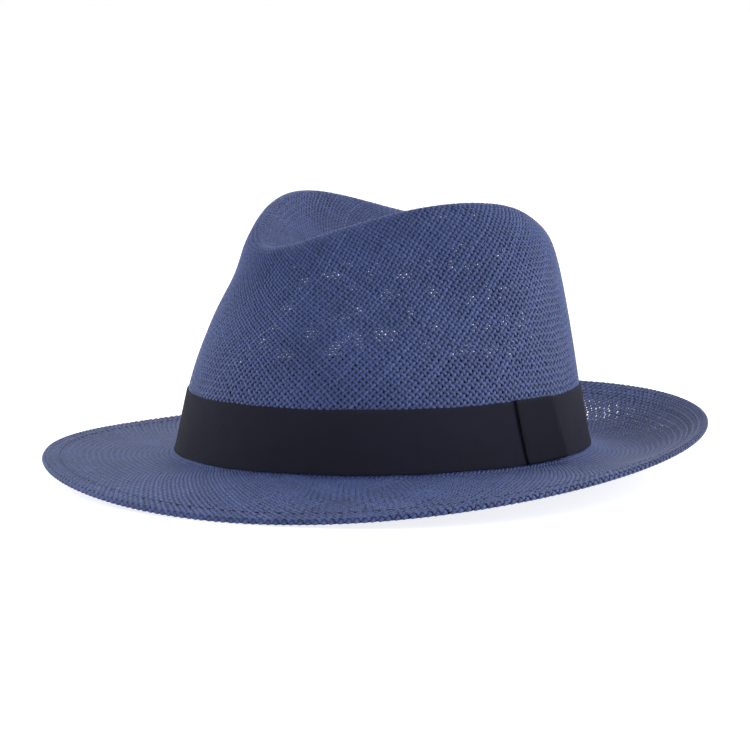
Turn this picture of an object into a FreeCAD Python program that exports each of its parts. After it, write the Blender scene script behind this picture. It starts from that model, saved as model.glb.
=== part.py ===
"""Woven paper-straw fedora with a teardrop crown, a cloth hat band and a sewn-in sweatband.

Frame: millimetres, +Z up, the hat's front towards -Y and the wearer's left towards +X.
The origin is the middle of the head opening, at the height where crown and brim meet.
Angles run round the hat from the front (0) over the wearer's left (90) to the rear (180).
"""
import FreeCAD, Part
import os
from math import cos, exp, pi, radians, sin

os.makedirs("parts", exist_ok=True)
Vector = FreeCAD.Vector

# ---------------------------------------------------------------- driving dimensions
WEAVE_THICKNESS = 0.8        # two crossing paper strands, pressed flat
POLES_AROUND = 72            # control columns of every ring surface

# Crown sections from the middle of the top down to the brim: half width, reach to the
# front, reach to the rear, taper of the nose, and height at the front, side and rear.
CROWN_SECTIONS = [
    (1.5, 1.5, 1.5, 0.00, 87.5, 87.5, 87.5),
    (8.0, 14.0, 14.0, 0.20, 87.5, 87.5, 88.5),
    (22.0, 38.0, 30.0, 0.50, 89.5, 91.5, 96.5),
    (44.5, 59.0, 45.5, 0.55, 89.5, 102.5, 105.5),
    (50.0, 68.5, 55.5, 0.60, 97.5, 120.4, 101.0),
    (60.6, 79.5, 66.5, 0.54, 96.5, 111.0, 99.0),
    (64.1, 80.2, 80.0, 0.35, 81.5, 96.0, 94.0),
    (72.5, 88.5, 88.0, 0.13, 65.5, 73.5, 75.0),
    (78.0, 92.0, 94.0, 0.05, 49.5, 49.5, 49.0),
    (82.5, 98.5, 99.5, 0.00, 22.5, 22.5, 22.5),
    (85.5, 101.5, 103.0, 0.00, 6.0, 6.0, 6.0),
    (87.0, 103.0, 104.5, 0.00, 0.0, 0.0, 0.0),
]
# Brim at the front, then every 45 degrees over the wearer's left.
BRIM_WIDTH = (55.5, 59.0, 56.5, 52.2, 60.0, 59.0, 59.5, 59.9)
BRIM_EDGE_HEIGHT = (-6.9, -5.9, 5.4, 12.5, 15.5, 8.0, -0.5, -0.6)
BRIM_STEPS = (0.05, 0.3, 0.65, 1.0)     # control rings across the brim, as a share of its width
BRIM_DIP = (0.0, 0.0, 1.0, 7.0, 9.0, 6.5, 3.5, 1.5)     # how far its middle sags before the edge turns up
BRIM_CURL = 0.65             # share of the edge height that comes late, as a curl

# The two finger pinches in the front of the crown. Rows are places in CROWN_SECTIONS.
PINCH_DEPTH = 8.0
PINCH_ANGLE = 60.5
PINCH_HALF_ANGLE = 27.5
PINCH_ROW = 6.5
PINCH_HALF_ROWS = 1.4
PINCH_ROUNDNESS = 3.0

# Folded hem of the brim and the wire in it.
HEM_WIDTH = 8.0
HEM_OUTER_RADIUS = 1.2
HEM_CHANNEL_RADIUS = 0.45
PLY_GAP = 0.1                # between the hem's two plies
WIRE_RADIUS = 0.35

# Hat band, keeper and sweatband. Heights are above the brim break, offsets stand off the weave.
BAND_BOTTOM = 1.6
BAND_TOP = 29.5
BAND_OFFSET = 0.2
BAND_THICKNESS = 0.7
KEEPER_ANGLES_BOTTOM = (90.8, 106.0)
KEEPER_ANGLES_TOP = (89.0, 102.5)
KEEPER_PLY = 0.5
KEEPER_ROOM = 0.75           # how far the band is lifted for the keeper's back ply
SWEATBAND_BOTTOM = 1.6
SWEATBAND_TOP = 33.0
SWEATBAND_THICKNESS = 0.6
SWEATBAND_GAP = 0.25

# The cut ends of the band meet under the keeper, those of the sweatband at the rear.
BAND_SEAM_ANGLES = (96.9, 98.5)
SWEATBAND_SEAM_ANGLES = (171.6, 173.2)

# Size label on the inside of the sweatband, at the rear.
LABEL_ANGLES = (177.0, 189.0)
LABEL_BOTTOM = 12.0
LABEL_TOP = 24.0
LABEL_THICKNESS = 0.3

# Sewing thread, and how far it lies clear of the cloth it holds.
THREAD_RADIUS = 0.15
THREAD_CLEARANCE = 0.08
HEM_STITCH = 3.6
HEM_STITCH_PITCH = 5.2
HEM_STITCH_INWARD = 6.5      # from the brim edge
BAND_SEAM_PITCH = 3.6
TACK_ANGLES = (30, 75, 117, 150, 180, 210, 255, 300, 345)
TACK_TURN = 0.9              # degrees round the hat
SWEATBAND_STITCH = 3.0
SWEATBAND_STITCH_PITCH = 5.0
SWEATBAND_STITCH_HEIGHT = 4.2
ZIGZAG_RISE = 1.5
ZIGZAG_PITCH = 2.0
LABEL_STITCH_TURN = 1.4      # degrees round the hat
LABEL_STITCH_PITCH = 2.3
LABEL_STITCH_MARGIN = 1.2

BREAK = len(CROWN_SECTIONS) - 1          # v of the brim break
EDGE = BREAK + len(BRIM_STEPS)           # v of the brim edge


# ---------------------------------------------------------------- the blocked hat surface
def round_the_hat(values, angle):
    """Smooth curve through eight values set every 45 degrees from the front."""
    total = sum(values) / 8
    for k in (1, 2, 3, 4):
        weight = 1 / 8 if k == 4 else 2 / 8
        even = sum(v * cos(k * i * pi / 4) for i, v in enumerate(values))
        odd = sum(v * sin(k * i * pi / 4) for i, v in enumerate(values))
        total += weight * (even * cos(k * angle) + odd * sin(k * angle) * (k < 4))
    return total


def crown_section(section, angle):
    """Point on a crown section: an oval that narrows to a nose at the front and waves in height."""
    width, front, rear, nose, z_front, z_side, z_rear = section
    narrowing = (1 - nose * cos(angle / 2) ** 2) / (1 - nose / 2)
    x = width * sin(angle) * narrowing
    y = (rear - front) / 2 - (rear + front) / 2 * cos(angle)
    level = z_side * sin(angle) ** 2 + (z_front + z_rear) / 2 * cos(angle) ** 2
    return Vector(x, y, level + (z_front - z_rear) / 2 * cos(angle))


def brim_point(share, angle):
    """Point on the brim at a share of its width outside the break."""
    width, front, rear = CROWN_SECTIONS[-1][:3]
    out = Vector((rear + front) / 2 * sin(angle), -width * cos(angle), 0).normalize()
    start = crown_section(CROWN_SECTIONS[-1], angle)
    rise = round_the_hat(BRIM_EDGE_HEIGHT, angle) * ((1 - BRIM_CURL) * share + BRIM_CURL * share ** 2)
    dip = round_the_hat(BRIM_DIP, angle) * 4 * share * (1 - share)
    return start + out * (round_the_hat(BRIM_WIDTH, angle) * share) + Vector(0, 0, rise - dip)


def control_points(angle):
    """The control points of the skin at one angle, from the middle of the top to the brim edge."""
    points = [crown_section(section, angle) for section in CROWN_SECTIONS]
    return points + [brim_point(share, angle) for share in BRIM_STEPS]


def pinch(angle, v):
    """How far a finger pinch pushes the crown in."""
    turn = abs((angle + pi) % (2 * pi) - pi) - radians(PINCH_ANGLE)
    around = abs(turn / radians(PINCH_HALF_ANGLE)) ** PINCH_ROUNDNESS
    up = abs((v - PINCH_ROW) / PINCH_HALF_ROWS) ** PINCH_ROUNDNESS
    return Vector(sin(angle), -cos(angle), 0) * (-PINCH_DEPTH * exp(-around - up))


def skin(angle, v):
    """Outer face of the weave: v is 0 at the middle of the top and EDGE at the brim edge."""
    points = control_points(angle)
    points = [points[0] * 2 - points[1]] + points + [points[-1] * 2 - points[-2]]
    span = min(int(v), EDGE - 1)
    t = v - span
    weights = ((1 - t) ** 3, 3 * t ** 3 - 6 * t ** 2 + 4, -3 * t ** 3 + 3 * t ** 2 + 3 * t + 1, t ** 3)
    point = Vector(0, 0, 0)
    for weight, control in zip(weights, points[span:span + 4]):
        point += control * (weight / 6)
    return point + pinch(angle, v)


def frame_at(angle, v):
    """Point, outward normal and downhill direction of the skin."""
    step = 0.01
    low = skin(angle, max(v - step, 0))
    high = skin(angle, min(v + step, EDGE))
    down = (high - low).normalize()
    side = skin(angle + step, v) - skin(angle - step, v)
    return skin(angle, v), side.cross(down).normalize() * -1, down


def offset_point(angle, v, offset):
    """Point that stands off the skin along its normal."""
    point, normal, _ = frame_at(angle, v)
    return point + normal * offset


def wall_point(angle, height, offset):
    """Point on the crown wall at a height above the break, standing off the weave."""
    low, high = 6.0, BREAK + 0.5
    for _ in range(24):
        middle = (low + high) / 2
        if skin(angle, middle).z > height:
            low = middle
        else:
            high = middle
    return offset_point(angle, low, offset)


def wire_point(angle, inward, depth):
    """Point in the fold, measured square to the brim edge: a way in and a depth under the skin."""
    point, normal, down = frame_at(angle, EDGE)
    return point - down * inward - normal * depth


def hem_point(angle, inward, depth):
    """Point near the brim edge: a way in from it along the brim, and a depth under the skin."""
    if inward <= 0:
        return wire_point(angle, inward, depth)
    last = round_the_hat(BRIM_WIDTH, angle) * (1 - BRIM_STEPS[-2])
    return offset_point(angle, EDGE - inward / last, -depth)


# ---------------------------------------------------------------- building solids
def angles_around():
    """The angles of the control columns."""
    return [2 * pi * i / POLES_AROUND for i in range(POLES_AROUND)]


def pole_ring(place):
    """One ring of poles; pulled out a little, because a cubic runs inside its poles."""
    ring = [place(angle) for angle in angles_around()]
    centre = sum(ring, Vector(0, 0, 0)) * (1 / POLES_AROUND)
    grow = 3 / (2 + cos(2 * pi / POLES_AROUND)) - 1
    return [p + Vector(p.x - centre.x, p.y - centre.y, 0) * grow for p in ring]


def ring_face(rings):
    """Smooth face over rings of poles that starts and ends on the first and last ring."""
    degree = min(3, len(rings) - 1)
    spans = len(rings) - degree
    surface = Part.BSplineSurface()
    surface.buildFromPolesMultsKnots(rings, [degree + 1] + [1] * (spans - 1) + [degree + 1],
                                     [1] * (POLES_AROUND + 1), list(range(spans + 1)),
                                     list(range(POLES_AROUND + 1)), False, True, degree, 3)
    return surface.toShape()


def sewn_solid(strips, capped=False):
    """Solid bounded by strips of rings, each starting on the ring where the one before ends."""
    faces = [ring_face(strip) for strip in strips]
    if capped:
        for face in (faces[0], faces[-1]):
            end = min((e for e in face.Edges if e.isClosed()), key=lambda e: e.Length)
            faces.append(Part.Face(Part.Wire([end])))
    shell = Part.Shell(faces)
    shell.sewShape()
    return Part.Solid(shell)


def patch_solid(sections):
    """Solid through a row of closed polygons, each laid flat in its own upright plane."""
    wires = []
    for section in sections:
        middle = sum(section, Vector(0, 0, 0)) * (1 / len(section))
        out = section[0] - section[-1]
        across = out.cross(Vector(0, 0, 1)).normalize()
        flat = [point - across * (point - middle).dot(across) for point in section]
        wires.append(Part.makePolygon(flat + [flat[0]]))
    return Part.makeLoft(wires, True, False)


def thread(start, end):
    """One visible length of sewing thread."""
    run = end - start
    return Part.makeCylinder(THREAD_RADIUS, run.Length, start, run)


def export(name, solids):
    """Writes one node's solids as a STEP file, each with its faces outwards."""
    shape = solids[0] if len(solids) == 1 else Part.makeCompound(solids)
    for solid in shape.Solids:
        if solid.Volume < 0:
            solid.reverse()
    shape.exportStep("parts/" + name + ".step")
    valid = all(s.isValid() and s.isClosed() for s in shape.Solids)
    state = "valid" if valid else "NOT VALID"
    print(name, len(shape.Solids), "solids", round(shape.Volume / 1000, 3), "cm3", state)


# ---------------------------------------------------------------- woven body
def half_turn(radius, steps):
    """Half circle round the wire, from above to below, as (way in from the edge, depth under the skin)."""
    turns = [pi * k / steps for k in range(steps + 1)]
    return [(-radius * sin(t), HEM_OUTER_RADIUS - radius * cos(t)) for t in turns]


def hem_outline():
    """The folded hem: round the edge, back under it, up the ply's end, out again and round the wire."""
    upper = WEAVE_THICKNESS + PLY_GAP
    lower = upper + WEAVE_THICKNESS
    under = [(1.5, 2.3), (3.5, lower + 0.1), (HEM_WIDTH, lower)]
    inside = [(HEM_WIDTH, upper), (3.5, upper + 0.1), (1.5, upper + 0.4)]
    return half_turn(HEM_OUTER_RADIUS, 6) + under + inside + half_turn(HEM_CHANNEL_RADIUS, 4)[::-1]


def woven_body():
    """One shell of weave: down the outside of crown and brim, round the hem and back up the inside."""
    rows = [0.0, 0.4] + [0.5 * i for i in range(2, 2 * BREAK - 1)]
    rows += [BREAK - 0.5 + 0.25 * i for i in range(5)]
    rows += [BREAK + 1 + 0.5 * i for i in range(2 * (EDGE - BREAK) - 1)]
    outer = [pole_ring(lambda a: skin(a, v)) for v in rows]
    hem = [outer[-1]]
    for inward, depth in hem_outline()[1:]:
        hem.append(pole_ring(lambda a: hem_point(a, inward, depth)))
    inner = [hem[-1]]
    for v in reversed(rows[1:-1]):
        inner.append(pole_ring(lambda a: offset_point(a, v, -WEAVE_THICKNESS)))
    inner.append(pole_ring(lambda a: skin(a, 0) - Vector(0, 0, WEAVE_THICKNESS)))
    strips = [[first, second] for first, second in zip(hem, hem[1:])]
    return [sewn_solid([outer] + strips + [inner], capped=True)]


def brim_wire():
    """Wire in the fold of the hem, its two ends butted at the rear."""
    sides = 10
    rings = []
    for k in range(sides):
        turn = 2 * pi * k / sides
        inward = WIRE_RADIUS * sin(turn)
        depth = HEM_OUTER_RADIUS + WIRE_RADIUS * cos(turn)
        rings.append(pole_ring(lambda a: wire_point(a, inward, depth)))
    return [sewn_solid([[rings[k - 1], rings[k]] for k in range(sides)])]


def spaced(place, length, pitch):
    """Start and end angles of stitches of one length at an even pitch along a closed line."""
    samples = 720
    angles = [2 * pi * i / samples for i in range(samples + 1)]
    run = [0.0]
    for before, after in zip(angles, angles[1:]):
        run.append(run[-1] + (place(after) - place(before)).Length)
    count = round(run[-1] / pitch)

    def angle_at(distance):
        i = next(k for k in range(1, samples + 1) if run[k] >= distance or k == samples)
        share = (distance - run[i - 1]) / (run[i] - run[i - 1])
        return angles[i - 1] + share * (angles[i] - angles[i - 1])

    starts = [run[-1] * k / count for k in range(count)]
    return [(angle_at(s), angle_at(s + length)) for s in starts]


def hem_stitches():
    """Running stitches through the hem, seen from above and, between those, from below."""
    inward = HEM_STITCH_INWARD
    top = THREAD_RADIUS + THREAD_CLEARANCE
    below = 2 * WEAVE_THICKNESS + PLY_GAP + THREAD_RADIUS + THREAD_CLEARANCE
    stitches = []
    for start, end in spaced(lambda a: hem_point(a, inward, 0), HEM_STITCH, HEM_STITCH_PITCH):
        stitches.append(thread(hem_point(start, inward, -top), hem_point(end, inward, -top)))
        half = (end - start) * HEM_STITCH_PITCH / HEM_STITCH / 2
        start, end = start + half, end + half
        stitches.append(thread(hem_point(start, inward, below), hem_point(end, inward, below)))
    return stitches


# ---------------------------------------------------------------- hat band and keeper
def band_lift(angle):
    """Distance of the band from the weave; it lifts over the keeper's back ply."""
    middle = radians(sum(KEEPER_ANGLES_BOTTOM) / 2)
    away = abs((angle - middle + pi) % (2 * pi) - pi) / radians(16)
    return BAND_OFFSET + KEEPER_ROOM * exp(-away ** 4)


def upright_ring(bottom, top, inner, outer):
    """Thin upright ring of cloth that follows the crown between two heights and two offsets."""
    heights = [bottom + (top - bottom) * k / 4 for k in range(5)]
    outside = [pole_ring(lambda a: wall_point(a, h, outer(a))) for h in heights]
    inside = [pole_ring(lambda a: wall_point(a, h, inner(a))) for h in reversed(heights)]
    return sewn_solid([outside, [outside[-1], inside[0]], inside, [inside[-1], outside[0]]])


def hat_band():
    """Cloth band round the foot of the crown."""
    return [upright_ring(BAND_BOTTOM, BAND_TOP, band_lift, lambda a: band_lift(a) + BAND_THICKNESS)]


def keeper_angle(share, height):
    """Angle of a line across the keeper, whose sides lean a little apart downwards."""
    low = KEEPER_ANGLES_BOTTOM[0] + share * (KEEPER_ANGLES_BOTTOM[1] - KEEPER_ANGLES_BOTTOM[0])
    high = KEEPER_ANGLES_TOP[0] + share * (KEEPER_ANGLES_TOP[1] - KEEPER_ANGLES_TOP[0])
    return radians(low + (high - low) * height / BAND_TOP)


def keeper_sections(bottom, top, back, front):
    """Upright sections across the keeper, between two heights and two offsets from the weave."""
    sections = []
    for k in range(9):
        heights = [bottom + (top - bottom) * j / 4 for j in range(5)]
        corners = [(h, front) for h in heights] + [(h, back) for h in reversed(heights)]
        sections.append([wall_point(keeper_angle(k / 8, h), h, stand) for h, stand in corners])
    return sections


def band_keeper():
    """Loop of the band's cloth, folded round the band and closed behind it."""
    gap = 0.1
    seam_room = 2 * (THREAD_RADIUS + THREAD_CLEARANCE)
    back = BAND_OFFSET + KEEPER_ROOM - gap
    front = BAND_OFFSET + KEEPER_ROOM + BAND_THICKNESS + seam_room
    outside = patch_solid(keeper_sections(BAND_BOTTOM - gap - KEEPER_PLY, BAND_TOP + gap + KEEPER_PLY,
                                          back - KEEPER_PLY, front + KEEPER_PLY))
    inside = keeper_sections(BAND_BOTTOM - gap, BAND_TOP + gap, back, front)
    first = [p + (p - q) * 0.5 for p, q in zip(inside[0], inside[1])]
    last = [p + (p - q) * 0.5 for p, q in zip(inside[-1], inside[-2])]
    return [outside.cut(patch_solid([first] + inside + [last])).Solids[0]]


def band_seam_stitches():
    """Stitches that close the band's two ends under the keeper."""
    stand = BAND_OFFSET + KEEPER_ROOM + BAND_THICKNESS + THREAD_RADIUS + THREAD_CLEARANCE
    first, second = [radians(angle) for angle in BAND_SEAM_ANGLES]
    count = int((BAND_TOP - BAND_BOTTOM) / BAND_SEAM_PITCH)
    heights = [BAND_BOTTOM + BAND_SEAM_PITCH * (k + 0.8) for k in range(count)]
    return [thread(wall_point(first, h, stand), wall_point(second, h, stand)) for h in heights]


def band_tacks():
    """Short tacks that hold the top edge of the band to the crown."""
    stand = THREAD_RADIUS + THREAD_CLEARANCE
    height = BAND_TOP + THREAD_RADIUS + THREAD_CLEARANCE
    stitches = []
    for angle in TACK_ANGLES:
        start = wall_point(radians(angle), height, stand)
        stitches.append(thread(start, wall_point(radians(angle + TACK_TURN), height, stand)))
    return stitches


# ---------------------------------------------------------------- sweatband and label
def sweatband():
    """Ribbed tape inside the head opening."""
    outer = -WEAVE_THICKNESS - SWEATBAND_GAP
    inner = outer - SWEATBAND_THICKNESS
    return [upright_ring(SWEATBAND_BOTTOM, SWEATBAND_TOP, lambda a: inner, lambda a: outer)]


def inside_stand(thickness):
    """Offset of something of a thickness that lies on the sweatband's inner face."""
    return -WEAVE_THICKNESS - SWEATBAND_GAP - SWEATBAND_THICKNESS - THREAD_CLEARANCE - thickness


def sweatband_stitches():
    """The line of stitches that holds the sweatband to the crown."""
    height = SWEATBAND_STITCH_HEIGHT
    stand = inside_stand(THREAD_RADIUS)
    pairs = spaced(lambda a: wall_point(a, height, stand), SWEATBAND_STITCH, SWEATBAND_STITCH_PITCH)
    return [thread(wall_point(a, height, stand), wall_point(b, height, stand)) for a, b in pairs]


def sweatband_seam_stitches():
    """Zigzag that joins the sweatband's two ends at the rear."""
    stand = inside_stand(THREAD_RADIUS)
    left, right = [radians(angle) for angle in SWEATBAND_SEAM_ANGLES]
    stitches = []
    for k in range(12):
        height = SWEATBAND_STITCH_HEIGHT + ZIGZAG_PITCH * (k + 1)
        first, second = (left, right) if k % 2 else (right, left)
        start = wall_point(first, height, stand)
        stitches.append(thread(start, wall_point(second, height + ZIGZAG_RISE, stand)))
    return stitches


def size_label():
    """Small woven tape, curved with the sweatband that it lies on."""
    near, far = inside_stand(0), inside_stand(LABEL_THICKNESS)
    start, end = [radians(angle) for angle in LABEL_ANGLES]
    corners = [(LABEL_BOTTOM, near), (LABEL_TOP, near), (LABEL_TOP, far), (LABEL_BOTTOM, far)]
    angles = [start + (end - start) * k / 8 for k in range(9)]
    return [patch_solid([[wall_point(a, height, stand) for height, stand in corners] for a in angles])]


def label_stitches():
    """Stitches along the label's lower and upper edges."""
    stand = inside_stand(LABEL_THICKNESS + THREAD_CLEARANCE + THREAD_RADIUS)
    turn = radians(LABEL_STITCH_TURN)
    stitches = []
    for k in range(5):
        start = radians(LABEL_ANGLES[0] + LABEL_STITCH_PITCH * (k + 0.25))
        for height in (LABEL_BOTTOM + LABEL_STITCH_MARGIN, LABEL_TOP - LABEL_STITCH_MARGIN):
            end = wall_point(start + turn, height, stand)
            stitches.append(thread(wall_point(start, height, stand), end))
    return stitches


for build in (woven_body, brim_wire, hem_stitches, hat_band, band_keeper, band_seam_stitches, band_tacks,
              sweatband, sweatband_stitches, sweatband_seam_stitches, size_label, label_stitches):
    export(build.__name__, build())
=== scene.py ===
"""Looks of the woven fedora: paper strands, band with its keeper, sweatband, label and sewing.

The frame is the CAD part's: the hat's front looks along -Y, the wearer's left is +X, and the origin
is in the middle of the head opening. Angles run round the hat from the front (0) over the wearer's
left (90) to the rear (180). The hat's sizes are in millimetres until mesh_piece turns them into
metres; the sheets' flat sizes, the floor, the lights and the camera are in metres.
"""
from math import cos, pi, radians, sin

import bpy
import numpy as np
from mathutils import Matrix, Vector


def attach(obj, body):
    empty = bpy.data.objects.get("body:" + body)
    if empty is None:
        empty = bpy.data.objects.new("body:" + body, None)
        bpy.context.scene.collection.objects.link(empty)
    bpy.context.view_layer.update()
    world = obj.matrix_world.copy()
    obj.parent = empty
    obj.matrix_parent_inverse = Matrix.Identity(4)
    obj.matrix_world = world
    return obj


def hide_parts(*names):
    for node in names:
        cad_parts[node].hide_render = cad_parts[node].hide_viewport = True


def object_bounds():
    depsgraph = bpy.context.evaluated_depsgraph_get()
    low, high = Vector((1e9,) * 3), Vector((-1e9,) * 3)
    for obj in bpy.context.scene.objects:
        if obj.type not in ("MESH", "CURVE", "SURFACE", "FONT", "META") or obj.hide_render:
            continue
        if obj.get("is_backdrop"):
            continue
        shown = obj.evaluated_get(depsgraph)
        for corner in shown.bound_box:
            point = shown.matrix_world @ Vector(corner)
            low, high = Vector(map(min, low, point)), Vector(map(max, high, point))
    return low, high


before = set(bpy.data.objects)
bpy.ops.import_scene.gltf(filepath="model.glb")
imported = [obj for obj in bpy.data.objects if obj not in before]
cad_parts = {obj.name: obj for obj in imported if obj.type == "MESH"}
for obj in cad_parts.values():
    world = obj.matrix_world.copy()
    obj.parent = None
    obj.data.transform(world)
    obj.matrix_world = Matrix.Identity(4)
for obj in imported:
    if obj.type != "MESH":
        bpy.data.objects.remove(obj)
CAD_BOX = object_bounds()

# ---------------------------------------------------------------- sizes shared with the CAD part
WEAVE_THICKNESS = 0.8
# Ovals down the crown: half width, reach to the front and rear, nose, and height at front, side and rear.
CROWN_SECTIONS = np.array([
    (1.5, 1.5, 1.5, 0.00, 87.5, 87.5, 87.5),
    (8.0, 14.0, 14.0, 0.20, 87.5, 87.5, 88.5),
    (22.0, 38.0, 30.0, 0.50, 89.5, 91.5, 96.5),
    (44.5, 59.0, 45.5, 0.55, 89.5, 102.5, 105.5),
    (50.0, 68.5, 55.5, 0.60, 97.5, 120.4, 101.0),
    (60.6, 79.5, 66.5, 0.54, 96.5, 111.0, 99.0),
    (64.1, 80.2, 80.0, 0.35, 81.5, 96.0, 94.0),
    (72.5, 88.5, 88.0, 0.13, 65.5, 73.5, 75.0),
    (78.0, 92.0, 94.0, 0.05, 49.5, 49.5, 49.0),
    (82.5, 98.5, 99.5, 0.00, 22.5, 22.5, 22.5),
    (85.5, 101.5, 103.0, 0.00, 6.0, 6.0, 6.0),
    (87.0, 103.0, 104.5, 0.00, 0.0, 0.0, 0.0),
])
# The brim at eight angles, 45 degrees apart from the front.
BRIM_WIDTH = np.array((55.5, 59.0, 56.5, 52.2, 60.0, 59.0, 59.5, 59.9))
BRIM_EDGE_HEIGHT = np.array((-6.9, -5.9, 5.4, 12.5, 15.5, 8.0, -0.5, -0.6))
BRIM_DIP = np.array((0.0, 0.0, 1.0, 7.0, 9.0, 6.5, 3.5, 1.5))
BRIM_STEPS = (0.05, 0.3, 0.65, 1.0)
BRIM_CURL = 0.65
PINCH_DEPTH, PINCH_ANGLE, PINCH_HALF_ANGLE = 8.0, 60.5, 27.5
PINCH_ROW, PINCH_HALF_ROWS, PINCH_ROUNDNESS = 6.5, 1.4, 3.0
HEM_WIDTH, HEM_OUTER_RADIUS, PLY_GAP, WIRE_RADIUS = 8.0, 1.2, 0.1, 0.35
BAND_BOTTOM, BAND_TOP, BAND_OFFSET, BAND_THICKNESS = 1.6, 29.5, 0.2, 0.7
KEEPER_ANGLES_BOTTOM, KEEPER_ANGLES_TOP = (90.8, 106.0), (89.0, 102.5)
KEEPER_PLY, KEEPER_ROOM, KEEPER_GAP = 0.5, 0.75, 0.1
SWEATBAND_BOTTOM, SWEATBAND_TOP, SWEATBAND_THICKNESS, SWEATBAND_GAP = 1.6, 33.0, 0.6, 0.25
LABEL_ANGLES, LABEL_LENGTH, LABEL_BOTTOM, LABEL_TOP, LABEL_THICKNESS = (177.0, 189.0), 20.5, 12.0, 24.0, 0.3
THREAD_RADIUS, THREAD_CLEARANCE, THREAD_PROUD = 0.15, 0.08, 0.05
HEM_STITCH, HEM_STITCH_PITCH, HEM_STITCH_INWARD = 3.6, 5.2, 6.5
BAND_SEAM_STITCHES, BAND_SEAM_ANGLES, BAND_SEAM_MARGIN, BAND_SEAM_PITCH = 7, (96.9, 98.5), 3.0, 3.6
TACK_ANGLES, TACK_TURN = (30, 75, 117, 150, 180, 210, 255, 300, 345), 0.9
SWEATBAND_STITCH, SWEATBAND_STITCH_PITCH, SWEATBAND_STITCH_HEIGHT = 3.0, 5.0, 4.2
ZIGZAG_STITCHES, ZIGZAG_ANGLES, ZIGZAG_MARGIN, ZIGZAG_PITCH, ZIGZAG_RISE = 12, (171.6, 173.2), 5.0, 2.0, 1.5
LABEL_STITCHES, LABEL_STITCH_TURN, LABEL_STITCH_PITCH, LABEL_STITCH_MARGIN = 5, 1.4, 2.3, 1.2
LABEL_STITCH_START = 0.6     # degrees from the label's side edge to the first stitch

BREAK = len(CROWN_SECTIONS) - 1          # v of the brim break
EDGE = BREAK + len(BRIM_STEPS)           # v of the brim edge

# ---------------------------------------------------------------- sizes of the weave and the cloth
STRAND_THICKNESS = 0.8
STRAND_RISE = 0.36           # how far a strand passes over or under the middle of the weave
CROSSING_HALF = 0.28         # share of a row that a strand runs flat, to each side of a crossing
CROWN_FILL, BRIM_FILL = 0.765, 0.84      # share of the pitch that a strand covers
THINNEST, WIDEST = 0.56, 0.97            # limits of that share
FOLD_RADIUS = HEM_OUTER_RADIUS - WEAVE_THICKNESS / 2     # of the middle of the weave round the edge
CLOTH_RADIUS = 96.0          # mean radius of the crown at the band, for lengths along the cloth
EDGE_ROUNDING = 0.5          # of a cloth ring's upper and lower edge
HEM_SETTLING = 3.5           # over which the hem's lower ply closes up to the upper one

random = np.random.default_rng(7)


# ---------------------------------------------------------------- the blocked hat surface
def unit(vectors):
    """Vectors of length 1."""
    return vectors / np.linalg.norm(vectors, axis=-1, keepdims=True)


def round_the_hat(values, angle):
    """Smooth curve through eight values set every 45 degrees from the front."""
    compass = np.arange(8) * pi / 4
    total = np.full(np.shape(angle), values.mean())
    for k in (1, 2, 3):
        total = total + (values @ np.cos(k * compass) * np.cos(k * angle)
                         + values @ np.sin(k * compass) * np.sin(k * angle)) / 4
    return total + values @ np.cos(4 * compass) * np.cos(4 * angle) / 8


def control_points(angle):
    """The sixteen rings of control points at each angle, with one more beyond each end."""
    rings = []
    for width, front, rear, nose, z_front, z_side, z_rear in CROWN_SECTIONS:
        x = width * np.sin(angle) * (1 - nose * np.cos(angle / 2) ** 2) / (1 - nose / 2)
        y = (rear - front) / 2 - (rear + front) / 2 * np.cos(angle)
        z = z_side * np.sin(angle) ** 2 + (z_front + z_rear) / 2 * np.cos(angle) ** 2
        rings.append(np.stack([x, y, z + (z_front - z_rear) / 2 * np.cos(angle)], -1))
    width, front, rear = CROWN_SECTIONS[-1][:3]
    out = unit(np.stack([(rear + front) / 2 * np.sin(angle), -width * np.cos(angle), 0 * angle], -1))
    reach, rise = round_the_hat(BRIM_WIDTH, angle), round_the_hat(BRIM_EDGE_HEIGHT, angle)
    dip = round_the_hat(BRIM_DIP, angle)
    start = rings[-1]
    for share in BRIM_STEPS:
        ring = start + out * (reach * share)[..., None]
        curl = (1 - BRIM_CURL) * share + BRIM_CURL * share ** 2
        ring[..., 2] += rise * curl - dip * 4 * share * (1 - share)
        rings.append(ring)
    return np.stack([2 * rings[0] - rings[1]] + rings + [2 * rings[-1] - rings[-2]])


def skin(angle, v):
    """Outer face of the weave: v is 0 at the middle of the top and EDGE at the brim edge."""
    angle, v = np.broadcast_arrays(np.asarray(angle, float), np.asarray(v, float))
    shape = angle.shape
    angle, v = angle.ravel(), v.ravel()
    rings = control_points(angle)
    span = np.clip(v.astype(int), 0, EDGE - 1)
    t = v - span
    weights = ((1 - t) ** 3, 3 * t ** 3 - 6 * t ** 2 + 4, -3 * t ** 3 + 3 * t ** 2 + 3 * t + 1, t ** 3)
    column = np.arange(len(angle))
    point = sum(rings[span + j, column] * (weights[j] / 6)[:, None] for j in range(4))
    turn = np.abs((angle + pi) % (2 * pi) - pi) - radians(PINCH_ANGLE)
    around = np.abs(turn / radians(PINCH_HALF_ANGLE)) ** PINCH_ROUNDNESS
    up = np.abs((v - PINCH_ROW) / PINCH_HALF_ROWS) ** PINCH_ROUNDNESS
    push = -PINCH_DEPTH * np.exp(-around - up)
    point = point + np.stack([np.sin(angle) * push, -np.cos(angle) * push, 0 * push], -1)
    return point.reshape(shape + (3,))


def frame_at(angle, v):
    """Points, outward normals and downhill directions of the skin."""
    step = 0.01
    down = unit(skin(angle, np.minimum(v + step, EDGE)) - skin(angle, np.maximum(v - step, 0)))
    side = skin(angle + step, v) - skin(angle - step, v)
    return skin(angle, v), -unit(np.cross(side, down)), down


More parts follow.
